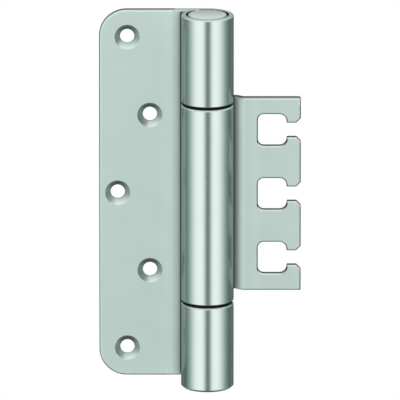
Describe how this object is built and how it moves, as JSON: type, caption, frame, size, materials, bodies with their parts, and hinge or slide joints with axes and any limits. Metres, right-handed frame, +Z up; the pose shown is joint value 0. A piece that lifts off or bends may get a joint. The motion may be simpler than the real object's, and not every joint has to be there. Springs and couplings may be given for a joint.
{
  "type": "lift off hinge",
  "caption": "Lift off hinge with a countersunk door leaf, a joggled frame leaf with open C slots, and a drawn pin in a rolled barrel.",
  "frame": {"origin": "on the pin's axis, at the level of the middle screw hole and the middle slot", "axes": "+X along the leaves towards the frame leaf, +Y towards the backs of the leaves, +Z up the pin"},
  "size_m": [0.084, 0.022, 0.1599],
  "materials": {
    "satin_steel": "satin, galvanised",
    "pin_steel": "satin",
    "black_bush": "matte"
  },
  "bodies": {
    "frame": {"frame_leaf": "satin_steel", "upper_bearing_bush": "black_bush", "lower_bearing_bush": "black_bush"},
    "door": {"door_leaf": "satin_steel", "upper_pin_sleeve": "pin_steel", "lower_pin_sleeve": "pin_steel", "bottom_plug": "pin_steel", "pin_lock_screw": "pin_steel"},
    "pin": {"hinge_pin": "pin_steel"}
  },
  "joints": [
    {"name": "door_swing", "type": "hinge", "parent": "frame", "child": "door", "pos_m": [0, 0, 0], "axis": [0, 0, 1], "range_deg": [0, 180]},
    {"name": "pin_draw", "type": "slide", "parent": "door", "child": "pin", "axis": [0, 0, 1], "range_m": [0, 0.165]}
  ]
}
